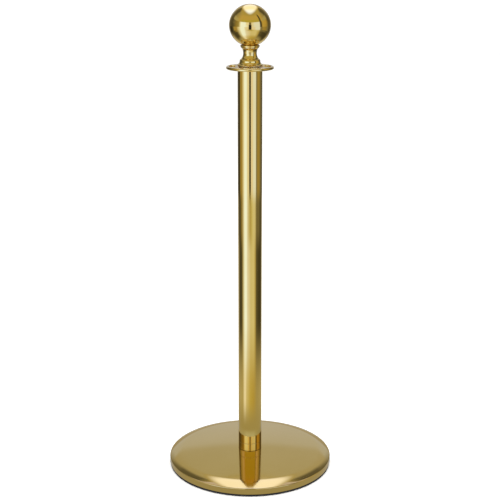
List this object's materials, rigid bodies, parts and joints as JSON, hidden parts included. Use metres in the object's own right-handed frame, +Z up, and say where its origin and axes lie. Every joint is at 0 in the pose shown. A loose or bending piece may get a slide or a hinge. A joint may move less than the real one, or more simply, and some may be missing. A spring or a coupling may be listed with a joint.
{
  "type": "rope barrier stanchion",
  "caption": "Free-standing ball-top post on a weighted round base, with a swivelling slotted ring that holds the hooks of barrier ropes.",
  "frame": {"origin": "on the floor, on the post's axis, under the middle of the base", "axes": "+Z up along the post; +X and +Y through the middles of two neighbouring slots of the rope ring"},
  "size_m": [0.355, 0.355, 1],
  "materials": {
    "polished_gold": "polished, lacquered gold-coloured metal",
    "satin_gold": "spun and finely satin-polished gold-coloured metal",
    "cast_weight": "as cast, painted dark grey",
    "rubber": "moulded black rubber",
    "zinc_hardware": "bright zinc plate",
    "plain_brass": "machined, unpolished",
    "nylon": "natural white"
  },
  "bodies": {
    "stand": {"floor_ring": "rubber", "base_weight": "cast_weight", "base_cover": "satin_gold", "base_bolt": "zinc_hardware", "spring_washer": "zinc_hardware", "bolt_washer": "zinc_hardware", "foot_socket": "polished_gold", "lower_plug": "zinc_hardware", "post_tube": "polished_gold", "top_plug": "zinc_hardware", "top_stud": "zinc_hardware", "stud_nut": "zinc_hardware", "ring_washer_lower": "nylon", "ring_bush": "plain_brass"},
    "ring": {"rope_ring": "polished_gold"},
    "finial_washer": {"ring_washer_upper": "nylon"},
    "finial": {"finial_neck": "polished_gold", "neck_insert": "plain_brass", "ball_screw": "zinc_hardware", "screw_washer": "zinc_hardware", "ball_boss": "plain_brass", "ball_shell": "polished_gold"}
  },
  "joints": [
    {"name": "ring_swivel", "type": "hinge", "parent": "stand", "child": "ring", "pos_m": [0, 0, 0.8722], "axis": [0, 0, 1], "continuous": true},
    {"name": "finial_turn", "type": "hinge", "parent": "stand", "child": "finial_washer", "pos_m": [0, 0, 0.8766], "axis": [0, 0, 1], "range_deg": [0, 3240]},
    {"name": "finial_lift", "type": "slide", "parent": "finial_washer", "child": "finial", "axis": [0, 0, 1], "range_m": [0, 0.0135]}
  ],
  "couplings": [
    {"joint": "finial_lift", "follows": "finial_turn", "m_per_rad": 0.00023873}
  ]
}
